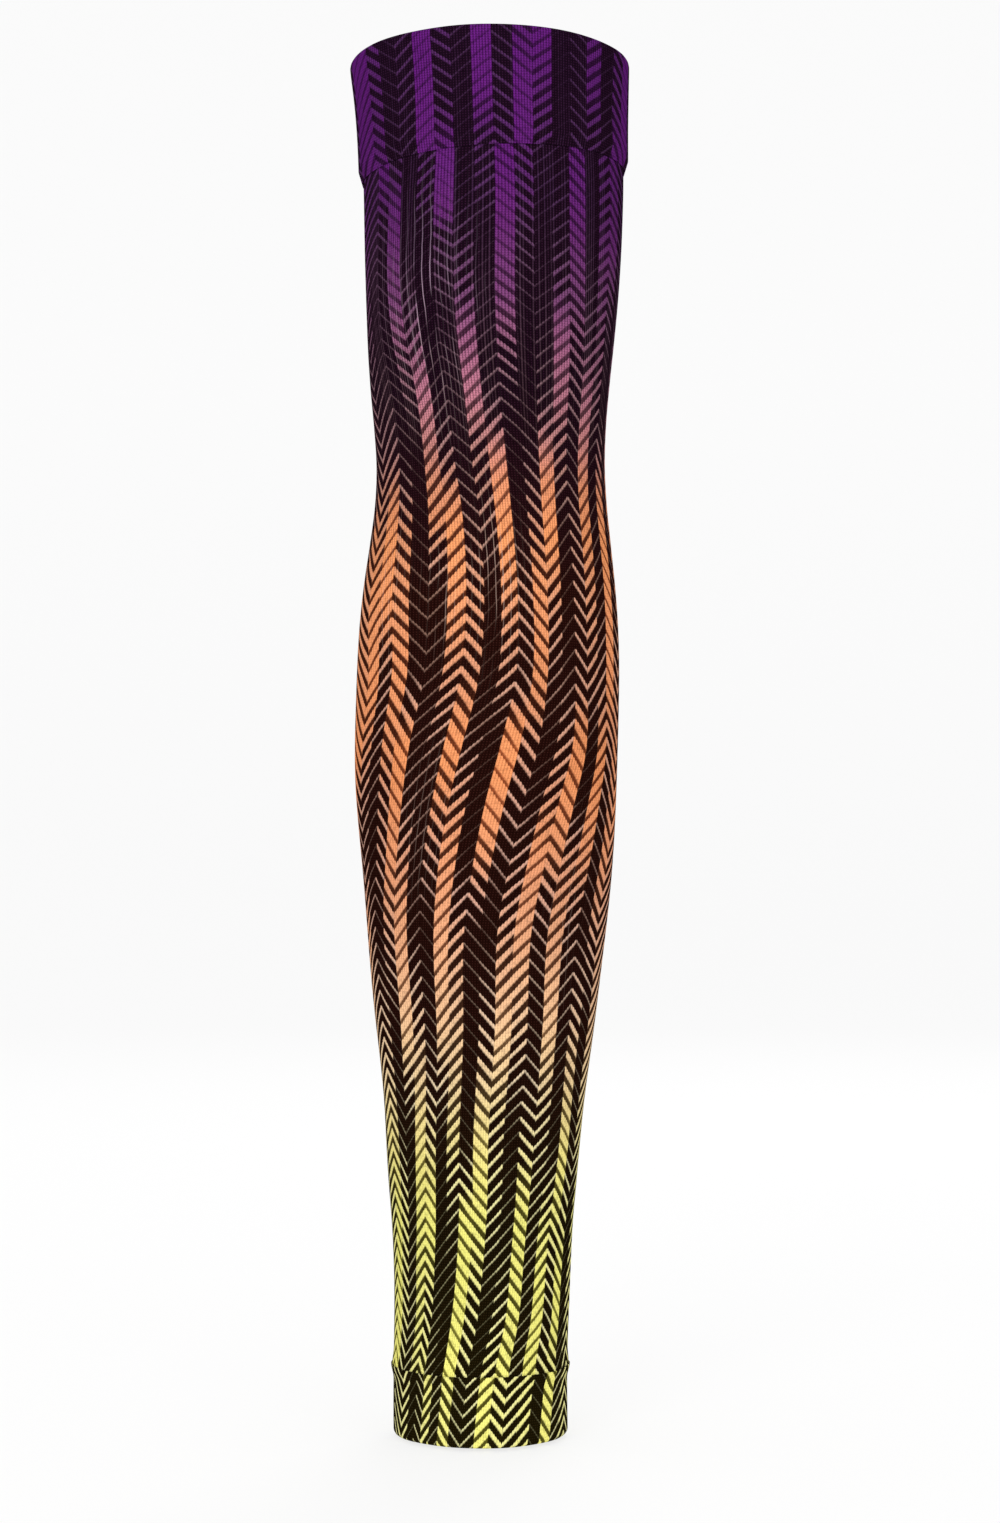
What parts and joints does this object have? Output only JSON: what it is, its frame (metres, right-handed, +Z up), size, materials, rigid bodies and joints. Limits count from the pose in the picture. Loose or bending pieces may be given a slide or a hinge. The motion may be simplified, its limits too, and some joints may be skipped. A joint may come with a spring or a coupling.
{
  "type": "arm compression sleeve",
  "caption": "Knitted arm compression sleeve in its worn form: a seamless tube shaped to upper arm, elbow, forearm and wrist, with a folded welt at each end.",
  "frame": {"origin": "centre of the upper opening, level with its rim, where the upper arm holds the sleeve", "axes": "+Z up the arm from the wrist to the shoulder, +X to the right of the front view, the front faces -Y"},
  "size_m": [0.089, 0.0881, 0.43],
  "materials": {
    "upper_knit": "matt fine-gauge knit, purple and near-black herringbone",
    "sleeve_knit": "matt fine-gauge knit, near-black herringbone over purple that fades to orange and yellow",
    "wrist_knit": "matt fine-gauge knit, lemon yellow and near-black herringbone"
  },
  "bodies": {
    "root": {"upper_arm_welt": "upper_knit", "sleeve_tube": "sleeve_knit", "wrist_welt": "wrist_knit"}
  },
  "joints": []
}
